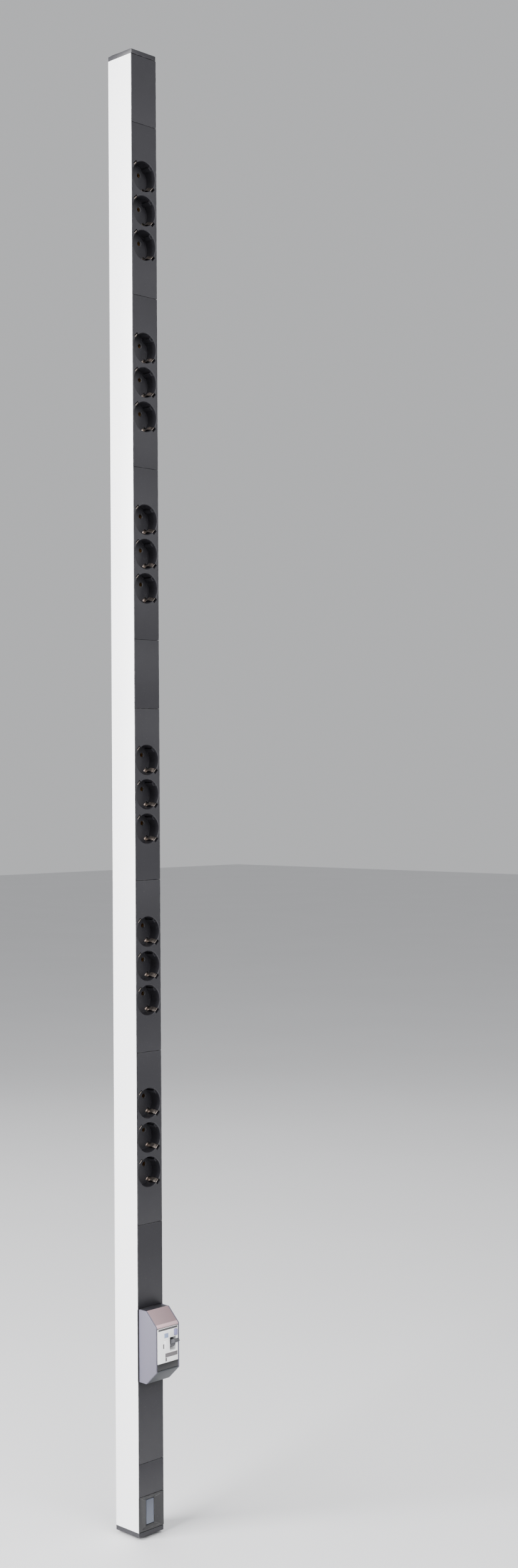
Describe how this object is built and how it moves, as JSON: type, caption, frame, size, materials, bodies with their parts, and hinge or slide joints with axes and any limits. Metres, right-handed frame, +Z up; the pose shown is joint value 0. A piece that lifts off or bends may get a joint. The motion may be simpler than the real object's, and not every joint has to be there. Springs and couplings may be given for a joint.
{
  "type": "rack power strip",
  "caption": "Upright rack power strip: aluminium channel with groups of round earthed sockets, a hooded breaker near its foot and a small status window at the end.",
  "frame": {"origin": "on the rear mounting face, midway along and across the strip", "axes": "+Z up along the strip, +Y out of the rear mounting face, the sockets face -Y"},
  "size_m": [0.044, 0.0882, 1.9446],
  "materials": {
    "anodised_aluminium": "satin",
    "black_plastic": "satin",
    "gloss_black": "gloss",
    "hood_grey": "matte",
    "breaker_white": "satin",
    "toggle_black": "satin",
    "button_violet": "satin",
    "smoked_window": "gloss",
    "nickel_plate": "satin",
    "contact_brass": "satin",
    "zinc_plate": "satin",
    "screw_steel": "satin",
    "circuit_board": "satin",
    "block_ivory": "matte",
    "wire_brown": "matte",
    "wire_blue": "matte",
    "wire_green": "matte"
  },
  "bodies": {
    "strip": {"housing_profile": "anodised_aluminium", "end_cap_top": "black_plastic", "end_cap_bottom": "black_plastic", "cap_screw_top_left": "screw_steel", "cap_screw_top_right": "screw_steel", "cap_screw_bottom_left": "screw_steel", "cap_screw_bottom_right": "screw_steel", "socket_module_1": "black_plastic", "socket_module_2": "black_plastic", "socket_module_3": "black_plastic", "socket_module_4": "black_plastic", "socket_module_5": "black_plastic", "socket_module_6": "black_plastic", "cover_top": "black_plastic", "cover_middle": "black_plastic", "cover_feed_upper": "black_plastic", "cover_feed_lower": "black_plastic", "cover_short": "black_plastic", "indicator_frame": "gloss_black", "indicator_window": "smoked_window", "indicator_board": "circuit_board", "earth_rail_1": "nickel_plate", "earth_rail_2": "nickel_plate", "earth_rail_3": "nickel_plate", "earth_rail_4": "nickel_plate", "earth_rail_5": "nickel_plate", "earth_rail_6": "nickel_plate", "live_rail_1": "contact_brass", "live_rail_2": "contact_brass", "live_rail_3": "contact_brass", "live_rail_4": "contact_brass", "live_rail_5": "contact_brass", "live_rail_6": "contact_brass", "neutral_rail_1": "contact_brass", "neutral_rail_2": "contact_brass", "neutral_rail_3": "contact_brass", "neutral_rail_4": "contact_brass", "neutral_rail_5": "contact_brass", "neutral_rail_6": "contact_brass", "breaker_carrier": "black_plastic", "breaker_hood": "hood_grey", "nose_filler": "gloss_black", "breaker_body": "breaker_white", "din_rail": "zinc_plate", "terminal_block": "block_ivory", "earth_stud": "contact_brass", "cable_bush": "toggle_black", "conductor_live_in": "wire_brown", "conductor_live_out": "wire_brown", "conductor_neutral_in": "wire_blue", "conductor_neutral_out": "wire_blue", "conductor_earth": "wire_green", "slot_nut_upper_left": "zinc_plate", "slot_nut_upper_right": "zinc_plate", "slot_nut_lower_left": "zinc_plate", "slot_nut_lower_right": "zinc_plate"},
    "toggle": {"breaker_toggle": "toggle_black"},
    "button": {"test_button": "button_violet"},
    "latch": {"din_latch": "toggle_black"}
  },
  "joints": [
    {"name": "toggle_swing", "type": "hinge", "parent": "strip", "child": "toggle", "pos_m": [0.0089, -0.0736, -0.71666], "axis": [1, 0, 0], "range_deg": [0, 48]},
    {"name": "test_button_press", "type": "slide", "parent": "strip", "child": "button", "axis": [0, 1, 0], "range_m": [0, 0.001], "stiffness_N_per_m": 400, "springref_m": -0.0005},
    {"name": "latch_pull", "type": "slide", "parent": "strip", "child": "latch", "axis": [0, 0, -1], "range_m": [0, 0.004], "stiffness_N_per_m": 800, "springref_m": -0.002}
  ]
}
